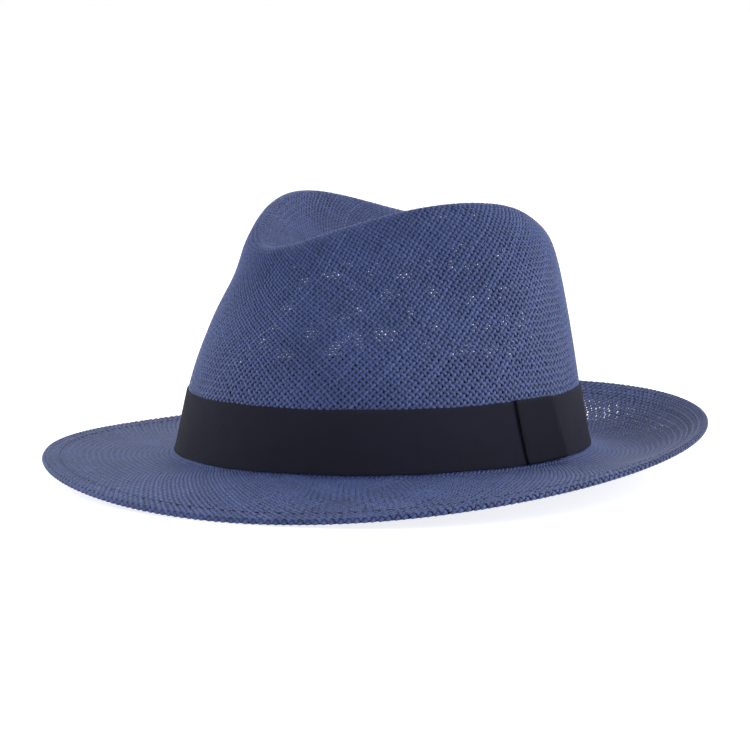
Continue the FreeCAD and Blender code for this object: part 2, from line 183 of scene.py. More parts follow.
def offset_point(angle, v, offset):
    """Points that stand off the skin along its normal."""
    point, normal, _ = frame_at(angle, v)
    return point + normal * np.asarray(offset)[..., None]


def wall_row(angle, height):
    """The v at which the crown wall has a height, found by halving."""
    low, high = np.full(np.shape(angle), 6.0), np.full(np.shape(angle), BREAK + 0.5)
    for _ in range(20):
        middle = (low + high) / 2
        above = skin(angle, middle)[..., 2] > height
        low, high = np.where(above, middle, low), np.where(above, high, middle)
    return low


def wall_point(angle, height, offset):
    """Points on the crown wall at a height above the break, standing off the weave."""
    angle, height, offset = np.broadcast_arrays(*(np.asarray(q, float) for q in (angle, height, offset)))
    return offset_point(angle, wall_row(angle, height), offset)


def last_step(angle):
    """Millimetres from one v to the next at the brim edge."""
    return round_the_hat(BRIM_WIDTH, angle) * (1 - BRIM_STEPS[-2])


def cloth_place(angle, v, lift):
    """Points a lift above the middle of the weave.

    Past the brim edge v runs on in millimetres, round the folded hem and back under the brim.
    """
    angle, v, lift = np.broadcast_arrays(*(np.asarray(q, float) for q in (angle, v, lift)))
    flat = offset_point(angle, np.minimum(v, EDGE), lift - WEAVE_THICKNESS / 2)
    past = np.maximum(v - EDGE, 0)
    turn = np.minimum(past / FOLD_RADIUS, pi)
    under = np.maximum(past - pi * FOLD_RADIUS, 0)
    settled = np.clip(under / HEM_SETTLING, 0, 1)
    settled = settled * settled * (3 - 2 * settled)
    ply = WEAVE_THICKNESS * 1.5 + PLY_GAP
    inward = -(FOLD_RADIUS + lift) * np.sin(turn) + under
    depth = HEM_OUTER_RADIUS - (FOLD_RADIUS + lift) * np.cos(turn)
    depth = depth - settled * (HEM_OUTER_RADIUS + FOLD_RADIUS - ply)
    point, normal, down = frame_at(angle, EDGE - np.maximum(inward, 0) / last_step(angle))
    hem = point - down * np.minimum(inward, 0)[..., None] - normal * depth[..., None]
    return np.where((past > 0)[..., None], hem, flat)


# ---------------------------------------------------------------- meshes
def mesh_piece(name, vertices, faces, material, node, uv, tone=None):
    """Piece from vertices in millimetres and four-sided faces, with a place on the cloth for each vertex."""
    mesh = bpy.data.meshes.new(name)
    vertices = np.asarray(vertices, np.float32).reshape(-1, 3) / 1000
    faces = np.asarray(faces, np.int32)
    mesh.vertices.add(len(vertices))
    mesh.vertices.foreach_set("co", vertices.ravel())
    mesh.loops.add(faces.size)
    mesh.loops.foreach_set("vertex_index", faces.ravel())
    mesh.polygons.add(len(faces))
    mesh.polygons.foreach_set("loop_start", np.arange(len(faces), dtype=np.int32) * 4)
    mesh.update(calc_edges=True)
    mesh.validate()
    mesh.polygons.foreach_set("use_smooth", np.full(len(mesh.polygons), True))
    layer = mesh.uv_layers.new(name="cloth")
    layer.data.foreach_set("uv", np.asarray(uv, np.float32).reshape(-1, 2)[faces.ravel()].ravel())
    if tone is not None:
        attribute = mesh.attributes.new("tone", "FLOAT", "POINT")
        attribute.data.foreach_set("value", np.asarray(tone, np.float32).ravel())
    mesh.materials.append(material)
    piece = bpy.data.objects.new(name, mesh)
    bpy.context.scene.collection.objects.link(piece)
    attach(piece, "root")
    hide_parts(node)
    return piece


def loop_faces(rows, columns):
    """Quads of a grid that closes on itself both ways."""
    row, column = np.meshgrid(np.arange(rows), np.arange(columns), indexing="ij")
    below, right = (row + 1) % rows, (column + 1) % columns
    return np.stack([row * columns + column, row * columns + right,
                     below * columns + right, below * columns + column], -1).reshape(-1, 4)


def tube_faces(count, rows, sides):
    """Quads of count closed tubes of 4 or 6 sides, each with rows rings, with both ends closed."""
    row, side = np.meshgrid(np.arange(rows - 1), np.arange(sides), indexing="ij")
    after = (side + 1) % sides
    wall = np.stack([row * sides + side, row * sides + after,
                     (row + 1) * sides + after, (row + 1) * sides + side], -1).reshape(-1, 4)
    caps = [[0, 3, 2, 1]] if sides == 4 else [[0, 5, 4, 1], [1, 4, 3, 2]]
    last = (rows - 1) * sides
    caps += [[last + corner for corner in cap[::-1]] for cap in caps]
    tube = np.concatenate([wall, np.array(caps)])
    starts = (np.arange(count) * rows * sides)[:, None, None]
    return (tube[None] + starts).reshape(-1, 4)


# ---------------------------------------------------------------- paper strands
def waves(count, places, length, amplitude):
    """Gentle wander of count strands along their places, in waves of about a length."""
    total = np.zeros((count, len(places)))
    for scale in (1.0, 0.55, 0.23):
        phase = random.uniform(0, 2 * pi, (count, 1))
        stretch = random.uniform(0.7, 1.3, (count, 1))
        total += amplitude * scale ** 0.5 * np.sin(2 * pi * places / (length * scale) * stretch + phase)
    return total


def openness(angle, v):
    """How open the weave is from place to place, from about -1 to 1."""
    return (np.sin(3 * angle + 1.9 * v + 0.6) * np.sin(1.7 * v + 0.8 * angle)
            + 0.7 * np.sin(7 * angle - 2.3 * v) * np.sin(5 * angle + 1.1)) / 1.4


def near(angle, middle, spread):
    """1 at an angle round the hat in degrees, falling off to both sides over a spread in degrees."""
    away = (angle - radians(middle) + pi) % (2 * pi) - pi
    return np.exp(-(away / radians(spread)) ** 2)


def fill(angle, v):
    """Share of the pitch that a strand covers.

    The crown is open, most of all at mid height and on the wearer's left. The brim is close, except
    at the foot of the band and in its curl behind the wearer's left ear.
    """
    on_brim = np.clip((v - 10.95) / 0.25, 0, 1)
    foot = np.exp(-((v - 11.15) / 0.12) ** 2)
    middle = np.exp(-((v - 7.2) / 1.6) ** 4)
    curl = near(angle, 163, 30) * np.exp(-((v - 13.75) / 0.65) ** 4)
    left = near(angle, 100, 30) * np.clip((v - 5) / 2, 0, 1)
    crown = CROWN_FILL - 0.03 * openness(angle, v) - 0.04 * left - 0.025 * middle
    brim = BRIM_FILL - 0.20 * curl - 0.05 * foot - 0.025 * openness(angle, v)
    return crown + (brim - crown) * on_brim


def relief(v):
    """How strongly the strands stand out: pressed flatter between band and sweatband."""
    return 1 - 0.45 * np.clip((v - 9.75) / 0.1, 0, 1) * np.clip((11.0 - v) / 0.1, 0, 1)


def drift(angle, v):
    """Slow unevenness of the rows round the hat, as a share of a row. It fades out towards the brim edge."""
    even = np.clip((EDGE - 0.3 - v) / 0.5, 0, 1)
    return even * (0.14 * np.sin(11 * angle + 2.1 * v) + 0.12 * np.sin(23 * angle - 3.3 * v + 1.0)
                   + 0.10 * np.sin(41 * angle + 5.7 * v + 2.0))


def lattice_rows(start, stop, count):
    """Places of the crossing rows, as far apart as the strands of one lay, which keeps crossings square."""
    ring = np.linspace(0, 2 * pi, 97)
    step = 0.02
    places = [start]
    while places[-1] < stop:
        here = cloth_place(ring, places[-1], 0)
        around = np.linalg.norm(np.diff(here, axis=0), axis=-1).sum()
        ahead = np.linalg.norm(cloth_place(ring, places[-1] + step, 0) - here, axis=-1).mean()
        places.append(places[-1] + around / (2 * count) / ahead * step)
    return np.array(places)


def strands(start, stop, count, lay, turn_in):
    """Centre lines, sideways and outward directions, widths and thicknesses of one lay of strands.

    A strand moves half a column round the hat for each row, so the two lays cross in every row
    and pass over and under by turns. It runs flat over a crossing and dips between crossings.
    Its ends are tucked in by turn_in.
    """
    places = lattice_rows(start, stop, count)
    rows = len(places) - 1
    crossings = np.arange(rows + 1)
    steps = np.sort(np.concatenate([crossings - CROSSING_HALF, crossings + CROSSING_HALF]))
    fold = np.interp([EDGE - 0.05, EDGE + 3.5], places, crossings)
    if fold[1] > fold[0]:
        outside = (steps < fold[0]) | (steps > fold[1])
        steps = np.concatenate([steps[outside], np.arange(fold[0], fold[1], 0.2)])
    steps = np.unique(np.clip(np.sort(steps), 0, rows))
    nominal = np.interp(steps, crossings, places)[None, :]
    column = np.arange(count)[:, None] + lay * steps[None, :] / 2
    column = column + waves(count, steps, 14, 0.04) + random.normal(0, 0.03, (count, 1))
    angle = column * 2 * pi / count
    row_gap = np.interp(steps, crossings[:-1], np.diff(places))[None, :]
    v = np.clip(nominal + drift(angle, nominal) * row_gap, start, stop)
    lift = lay * np.clip(1.6 * np.cos(pi * steps), -1, 1)[None, :] * STRAND_RISE * relief(v)
    lift = lift - turn_in * np.clip(1 - np.minimum(steps, rows - steps) / 2, 0, 1)[None, :]
    centre = cloth_place(angle, v, lift)
    step = 0.004
    side = cloth_place(angle + step, v, 0) - cloth_place(angle - step, v, 0)
    down = cloth_place(angle, v + step, 0) - cloth_place(angle, v - step, 0)
    along = unit(np.gradient(centre, axis=1))
    across = unit(np.cross(np.cross(down, side), along))
    pitch = np.linalg.norm(np.cross(side / (2 * step) * (2 * pi / count), along), axis=-1)
    share = fill(angle, v) + waves(count, steps, 5, 0.03) + random.normal(0, 0.02, (count, 1))
    width = pitch * np.clip(share, THINNEST, WIDEST)
    return centre, across, unit(np.cross(along, across)), width, STRAND_THICKNESS * relief(v)


def strand_piece(name, lay_parts, material):
    """One piece from the strands of one or more stages: a lens-shaped section swept along each.

    The cloth coordinate runs in millimetres along a strand and by 1 from one side edge to the other.
    """
    vertices, faces, uv, tone, base = [], [], [], [], 0
    # Each strand gets its own stretch of the straw's texture and its own depth of dye.
    for centre, across, normal, width, thickness in lay_parts:
        count, rows = centre.shape[:2]
        half = (width / 2)[..., None]
        thick = (thickness / 2)[..., None]
        ring = np.stack([centre - across * half, centre + normal * thick,
                         centre + across * half, centre - normal * thick], 2)
        vertices.append(ring.reshape(-1, 3))
        faces.append(tube_faces(count, rows, 4) + base)
        run = np.concatenate([np.zeros((count, 1)),
                              np.cumsum(np.linalg.norm(np.diff(centre, axis=1), axis=-1), axis=1)], axis=1)
        run = run + random.uniform(0, 500, (count, 1))
        u = np.repeat(run[..., None], 4, -1)
        w = np.broadcast_to(np.array([0.0, 0.5, 1.0, 0.5]), u.shape)
        w = w + random.integers(0, 900, (count, 1, 1)) * 2
        uv.append(np.stack([u, w], -1).reshape(-1, 2))
        tone.append(np.repeat(np.clip(random.normal(0.5, 0.17, count), 0, 1), rows * 4))
        base += count * rows * 4
    piece = mesh_piece(name, np.concatenate(vertices), np.concatenate(faces), material, "woven_body",
                       np.concatenate(uv), np.concatenate(tone))
    # The two side edges of the lens are sharp.
    ends = np.zeros(len(piece.data.edges) * 2, np.int32)
    piece.data.edges.foreach_get("vertices", ends)
    corner = ends.reshape(-1, 2) % 4
    crease = piece.data.attributes.new("sharp_edge", "BOOLEAN", "EDGE")
    crease.data.foreach_set("value", (corner[:, 0] == corner[:, 1]) & (corner[:, 0] % 2 == 0))
    return piece


# ---------------------------------------------------------------- materials
class Nodes:
    """Shorthand for one material's node tree."""

    def __init__(self, name):
        self.material = bpy.data.materials.new(name)
        self.material.use_nodes = True
        self.tree = self.material.node_tree
        self.shader = self.tree.nodes["Principled BSDF"]

    def add(self, kind, inputs=None, **settings):
        """New node with its settings, and with each input linked or set."""
        node = self.tree.nodes.new(kind)
        for key, value in settings.items():
            setattr(node, key, value)
        for key, value in (inputs or {}).items():
            if isinstance(value, bpy.types.NodeSocket):
                self.tree.links.new(value, node.inputs[key])
            else:
                node.inputs[key].default_value = value
        return node

    def math(self, operation, first, second=0.0):
        """Arithmetic on one or two values."""
        return self.add("ShaderNodeMath", {0: first, 1: second}, operation=operation).outputs[0]

    def ramp(self, factor, *stops):
        """Colours that change along a factor."""
        node = self.add("ShaderNodeValToRGB", {0: factor})
        while len(node.color_ramp.elements) < len(stops):
            node.color_ramp.elements.new(0.5)
        for element, (place, colour) in zip(node.color_ramp.elements, stops):
            element.position = place
            element.color = (*colour, 1)
        return node.outputs["Color"]

    def mix(self, factor, first, second, blend="MIX"):
        """Two colours mixed."""
        node = self.add("ShaderNodeMix", data_type="RGBA", blend_type=blend)
        for key, value in ((0, factor), (6, first), (7, second)):
            if isinstance(value, bpy.types.NodeSocket):
                self.tree.links.new(value, node.inputs[key])
            else:
                node.inputs[key].default_value = value if key == 0 else (*value, 1)
        return node.outputs[2]

    def noise(self, vector, scale, detail, roughness):
        """Cloudy noise from 0 to 1."""
        return self.add("ShaderNodeTexNoise", {"Vector": vector, "Scale": scale, "Detail": detail,
                                               "Roughness": roughness}).outputs[0]

    def uv(self, scale):
        """The cloth's own plane, in millimetres, with a scale along each axis."""
        place = self.add("ShaderNodeUVMap", uv_map="cloth").outputs[0]
        return self.add("ShaderNodeMapping", {"Vector": place, "Scale": (*scale, 1)}).outputs[0]

    def set(self, **values):
        """Set or link the shader's inputs, named with _ for a space."""
        for key, value in values.items():
            socket = self.shader.inputs[key.replace("_", " ")]
            if isinstance(value, bpy.types.NodeSocket):
                self.tree.links.new(value, socket)
            else:
                socket.default_value = value

    def bump(self, height, distance):
        """Relief of a distance in millimetres."""
        self.set(Normal=self.add("ShaderNodeBump", {"Height": height, "Distance": distance / 1000,
                                                    "Strength": 1.0}).outputs[0])


def straw_material():
    """Dyed paper strand: fine lengthwise fibres, uneven dye, painted shade darkening the edges and painted
    light along the middle.
    """
    n = Nodes("dyed_paper_straw")
    tone = n.add("ShaderNodeAttribute", attribute_name="tone").outputs["Fac"]
    fibres = n.noise(n.uv((0.35, 9.0)), 1.0, 3.0, 0.65)
    blotches = n.noise(n.add("ShaderNodeTexCoord").outputs["Object"], 55.0, 4.0, 0.6)
    dye = n.math("ADD", n.math("MULTIPLY", tone, 0.55), n.math("MULTIPLY", blotches, 0.45))
    colour = n.ramp(dye, (0.25, (0.038, 0.069, 0.232)), (0.55, (0.061, 0.106, 0.330)),
                    (0.85, (0.099, 0.160, 0.425)))
    streak = n.ramp(fibres, (0.3, (0.72, 0.74, 0.80)), (0.55, (1.0, 1.0, 1.0)), (0.8, (1.2, 1.18, 1.1)))
    colour = n.mix(1.0, colour, streak, "MULTIPLY")
    # Painted shade and light: each strand is darkened towards its side edges as the dark gaps between
    # strands, and lightened along its middle as light on a rounded strand.
    across = n.add("ShaderNodeSeparateXYZ", {0: n.uv((1.0, 1.0))}).outputs[1]
    rim = n.math("ABSOLUTE", n.math("SUBTRACT", n.math("FRACT", across), 0.5))
    painted_light_and_shade = n.ramp(rim, (0.0, (1.3, 1.3, 1.25)), (0.24, (1.05, 1.05, 1.05)),
                    (0.41, (0.55, 0.55, 0.6)), (0.5, (0.22, 0.22, 0.28)))
    colour = n.mix(1.0, colour, painted_light_and_shade, "MULTIPLY")
    rough = n.add("ShaderNodeMapRange", {0: fibres, 3: 0.36, 4: 0.58}).outputs[0]
    n.set(Base_Color=colour, Roughness=rough, Sheen_Weight=0.28, Sheen_Roughness=0.3, Specular_IOR_Level=0.6)
    n.bump(fibres, 0.09)
    return n.material


def cloth_material(name, dark, light, threads_per_mm, rib=0.0, sheen=0.06, rough=(0.6, 0.85)):
    """Plain-woven cloth; rib above 0 makes the crossways threads stand out as in ribbed tape."""
    n = Nodes(name)
    fine = n.add("ShaderNodeSeparateXYZ", {0: n.uv((threads_per_mm, threads_per_mm * (1 - rib) + rib * 0.4))})
    warp = n.math("SINE", n.math("MULTIPLY", fine.outputs[0], 2 * pi))
    weft = n.math("SINE", n.math("MULTIPLY", fine.outputs[1], 2 * pi))
    if rib:
        weave = n.math("ADD", n.math("MULTIPLY", warp, 0.42), n.math("MULTIPLY", weft, 0.08))
    else:
        weave = n.math("MULTIPLY", n.math("MULTIPLY", warp, weft), 0.5)
    height = n.math("ADD", weave, 0.5)
    object_place = n.add("ShaderNodeTexCoord").outputs["Object"]
    slubs = n.noise(n.uv((0.25, 2.2)), 1.0, 3.0, 0.6)
    fading = n.noise(object_place, 22.0, 3.0, 0.55)
    shade = n.math("ADD", n.math("MULTIPLY", slubs, 0.5), n.math("MULTIPLY", fading, 0.5))
    colour = n.ramp(shade, (0.3, dark), (0.75, light))
    grain = n.ramp(height, (0.15, (0.72, 0.72, 0.75)), (0.8, (1.1, 1.1, 1.08)))
    specks = n.noise(object_place, 900.0, 2.0, 0.6)
    lint = n.ramp(specks, (0.69, (0.0, 0.0, 0.0)), (0.76, (1.0, 1.0, 1.0)))
    colour = n.mix(1.0, colour, grain, "MULTIPLY")
    colour = n.mix(n.math("MULTIPLY", lint, 0.25), colour, tuple(min(1.0, c * 3) for c in light))
    n.set(Base_Color=colour, Sheen_Weight=sheen, Sheen_Roughness=0.45, Sheen_Tint=(0.8, 0.84, 1, 1),
          Specular_IOR_Level=0.2,
          Roughness=n.add("ShaderNodeMapRange", {0: slubs, 3: rough[0], 4: rough[1]}).outputs[0])
    n.bump(height, 0.12)
    return n.material


def thread_material(name, dark, light):
    """Twisted sewing thread: a fine slanting lay along it."""
    n = Nodes(name)
    lay = n.add("ShaderNodeTexWave", {"Vector": n.uv((2.2, 1.0)), "Scale": 1.0, "Distortion": 1.2},
                wave_type="BANDS", bands_direction="DIAGONAL").outputs["Fac"]
    colour = n.ramp(lay, (0.2, dark), (0.9, light))
    n.set(Base_Color=colour, Sheen_Weight=0.2,
          Roughness=n.add("ShaderNodeMapRange", {0: lay, 3: 0.5, 4: 0.75}).outputs[0])
    n.bump(lay, 0.05)
    return n.material


def wire_material():
    """Drawn plastic wire, a little cloudy, with faint draw marks along it."""
    n = Nodes("drawn_plastic_wire")
    marks = n.noise(n.uv((0.05, 6.0)), 1.0, 3.0, 0.6)
    n.set(Base_Color=n.ramp(marks, (0.3, (0.06, 0.08, 0.17)), (0.7, (0.10, 0.13, 0.24))),
          Roughness=n.add("ShaderNodeMapRange", {0: marks, 3: 0.25, 4: 0.45}).outputs[0])
    n.bump(marks, 0.02)
    return n.material


# ---------------------------------------------------------------- cloth rings
def ring_profile():
    """Section of a cloth ring: share of its height, share of its thickness, and bulge of its edge."""
    heights = np.linspace(0, 1, 15)
    corner = np.linspace(0, 1, 5)[1:-1] * pi
    outer = [(share, 1.0, 0.0) for share in heights]
    top = [(1.0, (1 + cos(t)) / 2, sin(t)) for t in corner]
    inner = [(share, 0.0, 0.0) for share in heights[::-2]]
    bottom = [(0.0, (1 - cos(t)) / 2, -sin(t)) for t in corner]
    return outer + top + inner + bottom


def cloth_ring(name, bottom, top, inner, thickness, material, node, ruffle, edge_ruffle):
    """Band of cloth round the crown with turned, rounded edges. inner is its distance off the weave."""
    angle = np.linspace(0, 2 * pi, 720, endpoint=False)
    rim = (np.sin(9 * angle + 0.4) + 0.6 * np.sin(17 * angle + 2.0) + 0.4 * np.sin(31 * angle)) * edge_ruffle
    points, uv = [], []
    for share, stand, bulge in ring_profile():
        height = bottom + EDGE_ROUNDING / 2 + share * (top - bottom - EDGE_ROUNDING)
        height = height + bulge * EDGE_ROUNDING / 2 + rim * (share - 0.5)
        billow = ruffle * (np.sin(5 * angle + 3 * share) + 0.7 * np.sin(12 * angle - 2 * share + 1)
                           + 0.35 * np.sin(41 * angle + 5 * share)) * np.sin(pi * np.clip(share, 0, 1)) ** 0.5
        offset = inner(angle) + thickness * stand + np.maximum(billow, -0.1) * (0.3 + 0.7 * stand)
        points.append(wall_point(angle, height, offset))
        uv.append(np.stack([CLOTH_RADIUS * angle, height + 40 * (stand < 0.5)], -1))
    faces = loop_faces(len(points), len(angle))
    return mesh_piece(name, np.stack(points), faces, material, node, np.stack(uv))


def band_lift(angle):
    """Distance of the band from the weave; it lifts over the keeper's back ply."""
    middle = radians(sum(KEEPER_ANGLES_BOTTOM) / 2)
    away = np.abs((angle - middle + pi) % (2 * pi) - pi) / radians(16)
    return BAND_OFFSET + KEEPER_ROOM * np.exp(-away ** 4)


def sweatband_lift(angle):
    """The sweatband's inner face, as a distance off the outside of the weave."""
    return -(WEAVE_THICKNESS + SWEATBAND_GAP) - SWEATBAND_THICKNESS + 0 * angle


def keeper_angle(share, height):
    """Angle at a share of the keeper's width; the keeper leans, so it changes with height."""
    low = KEEPER_ANGLES_BOTTOM[0] + share * (KEEPER_ANGLES_BOTTOM[1] - KEEPER_ANGLES_BOTTOM[0])
    high = KEEPER_ANGLES_TOP[0] + share * (KEEPER_ANGLES_TOP[1] - KEEPER_ANGLES_TOP[0])
    return np.radians(low + (high - low) * height / BAND_TOP)


def keeper_line(back, front):
    """Middle line of the keeper's ply round the band, as distances off the weave and heights."""
    low = BAND_BOTTOM - KEEPER_GAP - KEEPER_PLY / 2
    high = BAND_TOP + KEEPER_GAP + KEEPER_PLY / 2
    middle, half = (front + back) / 2, (front - back) / 2
    straight = high - low - 2 * half
    line = [(front, low + half + straight * k / 16) for k in range(17)]
    line += [(middle + half * cos(t), high - half + half * sin(t)) for t in np.linspace(0, pi, 9)[1:-1]]
    line += [(back, high - half - straight * k / 12) for k in range(13)]
    line += [(middle + half * cos(t), low + half + half * sin(t)) for t in np.linspace(pi, 2 * pi, 9)[1:-1]]
    return np.array(line)


def keeper_loop(material):
    """Loop of cloth round the band, with soft folds at top and bottom, that stands off at its rear edge."""
    back = BAND_OFFSET + KEEPER_ROOM - KEEPER_GAP - KEEPER_PLY / 2
    over_seam = 2 * (THREAD_RADIUS + THREAD_CLEARANCE)
    front = BAND_OFFSET + KEEPER_ROOM + BAND_THICKNESS + over_seam + KEEPER_PLY / 2
    line = keeper_line(back, front)
    ahead = np.roll(line, -1, 0) - np.roll(line, 1, 0)
    out = unit(np.stack([ahead[:, 1], -ahead[:, 0]], -1))
    run = np.concatenate([[0], np.cumsum(np.linalg.norm(np.diff(line, axis=0), axis=1))])
    in_front = np.clip((line[:, 0] - back) / (front - back), 0, 1)
    on_front = line[:, 0] > (front + back) / 2
    columns = 14
    across = [(k / columns, 1.0) for k in range(columns + 1)] + [(1.0, 0.0)]
    across += [(k / columns, -1.0) for k in range(columns, -1, -1)] + [(0.0, 0.0)]
    points, uv = [], []
    for share, side in across:
        edge = (0.012 if side == 0 else 0.0) * (1 if share > 0.5 else -1)
        spot = line + out * (KEEPER_PLY / 2 * side)
        puff = 0.088 * np.sin(pi * share) ** 0.6 * on_front
        proud = (2.3 * share ** 2 + 0.2 * (1 - share) ** 4) * in_front
        angle = keeper_angle(share + edge, spot[:, 1])
        points.append(wall_point(angle, spot[:, 1], spot[:, 0] + puff + proud))
        uv.append(np.stack([angle * 98 + 60 * (side < 0), run], -1))
    faces = loop_faces(len(across), len(line))
    return mesh_piece("band_keeper_loop", np.stack(points), faces, material, "band_keeper",
                      np.stack(uv))


# ---------------------------------------------------------------- sewing
def stitches(name, starts, ends, material, node, dip, sink):
    """Lengths of thread whose two ends curve down into the cloth. sink is the way down for each."""
    starts, ends, sink = (np.asarray(q, float).reshape(-1, 3) for q in (starts, ends, sink))
    swell = np.array([0.45, 0.9, 1, 1, 1, 1, 1, 0.9, 0.45])
    shares = np.linspace(0, 1, len(swell))
    sunk = (2 * shares - 1) ** 6
    sink = unit(sink)
    centre = starts[:, None] + (ends - starts)[:, None] * shares[None, :, None]
    centre = centre + sink[:, None] * dip * sunk[None, :, None]
    along = unit(np.gradient(centre, axis=1))
    across = unit(np.cross(along, sink[:, None]))
    up = np.cross(across, along)
    turns = np.arange(6) * pi / 3
    ring = centre[:, :, None] + swell[None, :, None, None] * THREAD_RADIUS * (
        across[:, :, None] * np.cos(turns)[None, None, :, None]
        + up[:, :, None] * np.sin(turns)[None, None, :, None])
    u = np.linalg.norm(ends - starts, axis=1)[:, None, None] * shares[None, :, None]
    uv = np.stack(np.broadcast_arrays(u, (turns / (2 * pi))[None, None, :]), -1)
    return mesh_piece(name, ring, tube_faces(len(starts), len(swell), 6), material, node, uv)


def spaced(place, length, pitch):
    """Start and end angles of stitches of one length at an even pitch along a closed line."""
    angles = np.linspace(0, 2 * pi, 721)
    run = np.concatenate([[0], np.cumsum(np.linalg.norm(np.diff(place(angles), axis=0), axis=1))])
    count = round(run[-1] / pitch)
    starts = run[-1] * np.arange(count) / count
    return np.interp(starts, run, angles), np.interp(starts + length, run, angles)


def hem_spot(angle, inward, depth):
    """Points of the brim at a distance in from its edge and a depth below its upper face."""
    return offset_point(angle, EDGE - inward / last_step(angle), -depth + 0 * angle)


def hem_seam(material):
    """Running stitches through the hem, seen from above and, between those, from below."""
    proud = 0.34
    above, below = -proud, 2 * WEAVE_THICKNESS + PLY_GAP + proud
    start, end = spaced(lambda a: hem_spot(a, HEM_STITCH_INWARD, 0), HEM_STITCH, HEM_STITCH_PITCH)
    start = start + random.normal(0, 0.0006, len(start))
    half = (end - start) * HEM_STITCH_PITCH / HEM_STITCH / 2
    wander = random.normal(0, 0.12, len(start))
    first, second = HEM_STITCH_INWARD + wander, HEM_STITCH_INWARD + np.roll(wander, -1)
    starts = np.concatenate([hem_spot(start, first, above),
                             hem_spot(start + half, HEM_STITCH_INWARD, below)])
    ends = np.concatenate([hem_spot(end, second, above), hem_spot(end + half, HEM_STITCH_INWARD, below)])
    _, up, _ = frame_at(start, np.full(len(start), EDGE - 0.4))
    return stitches("hem_seam_thread", starts, ends, material, "hem_stitches", 0.6,
                    np.concatenate([-up, up]))


def wall_threads(name, first, second, bottom, top, stand, material, node, dip):
    """Stitches between two places on the crown wall, given by angle and height."""
    first, second = np.asarray(first, float), np.asarray(second, float)
    bottom, top = np.asarray(bottom, float) + 0 * first, np.asarray(top, float) + 0 * first
    starts, ends = wall_point(first, bottom, stand), wall_point(second, top, stand)
    _, normal, _ = frame_at(first, wall_row(first, bottom))
    return stitches(name, starts, ends, material, node, dip, -normal * np.sign(stand))


def inside_stand(thickness):
    """Distance off the weave of something of a thickness that lies on the sweatband's inner face."""
    return sweatband_lift(0) - THREAD_CLEARANCE - thickness


def band_seam(material):
    """Stitches that close the band's two ends under the keeper."""
    height = BAND_BOTTOM + BAND_SEAM_MARGIN + BAND_SEAM_PITCH * np.arange(BAND_SEAM_STITCHES)
    first, second = (np.full(BAND_SEAM_STITCHES, radians(angle)) for angle in BAND_SEAM_ANGLES)
    stand = BAND_OFFSET + KEEPER_ROOM + BAND_THICKNESS + THREAD_RADIUS + THREAD_PROUD
    return wall_threads("band_seam_thread", first, second, height, height, stand, material,
                        "band_seam_stitches", 0.1)


def band_tacks(material):
    """Short stitches that hold the band's top edge to the crown."""
    tack, height = np.radians(TACK_ANGLES), BAND_TOP + THREAD_RADIUS + 0.1
    return wall_threads("band_tack_thread", tack, tack + radians(TACK_TURN), height, height,
                        THREAD_RADIUS + THREAD_PROUD, material, "band_tacks", 0.15)


def sweatband_seam(material):
    """Stitches along the sweatband's lower edge."""
    stand, height = inside_stand(THREAD_RADIUS), SWEATBAND_STITCH_HEIGHT
    first, second = spaced(lambda a: wall_point(a, height, stand), SWEATBAND_STITCH, SWEATBAND_STITCH_PITCH)
    return wall_threads("sweatband_seam_thread", first, second, height, height, stand, material,
                        "sweatband_stitches", 0.2)


def sweatband_join(material):
    """Zigzag that joins the sweatband's two ends at the rear."""
    step = np.arange(ZIGZAG_STITCHES)
    left, right = np.radians(ZIGZAG_ANGLES)
    first, second = np.where(step % 2, left, right), np.where(step % 2, right, left)
    bottom = SWEATBAND_BOTTOM + ZIGZAG_MARGIN + ZIGZAG_PITCH * step
    return wall_threads("sweatband_join_thread", first, second, bottom, bottom + ZIGZAG_RISE,
                        inside_stand(THREAD_RADIUS), material, "sweatband_seam_stitches", 0.2)


def label_seam(material):
    """Stitches along the label's upper and lower edge."""
    start = LABEL_ANGLES[0] + LABEL_STITCH_START + LABEL_STITCH_PITCH * np.arange(LABEL_STITCHES)
    start = np.radians(np.repeat(start, 2))
    height = np.tile([LABEL_BOTTOM + LABEL_STITCH_MARGIN, LABEL_TOP - LABEL_STITCH_MARGIN], LABEL_STITCHES)
    stand = inside_stand(LABEL_THICKNESS + THREAD_RADIUS + 0.06)
    return wall_threads("label_thread", start, start + radians(LABEL_STITCH_TURN), height, height, stand,
                        material, "label_stitches", 0.15)


# ---------------------------------------------------------------- wire and label
def brim_wire_loop(material):
    """Wire inside the fold of the hem, all round the brim."""
    angle = np.linspace(0, 2 * pi, 480, endpoint=False)
    turns = np.arange(8) * pi / 4
    edge, normal, down = frame_at(angle, np.full(len(angle), float(EDGE)))
    rings = np.stack([edge - normal * (HEM_OUTER_RADIUS + WIRE_RADIUS * cos(turn))
                      - down * (WIRE_RADIUS * sin(turn)) for turn in turns], 1)
    uv = np.stack(np.broadcast_arrays((angle * 150)[:, None], turns[None, :]), -1)
    return mesh_piece("brim_edge_wire", rings, loop_faces(len(angle), len(turns)), material, "brim_wire",
                      uv)


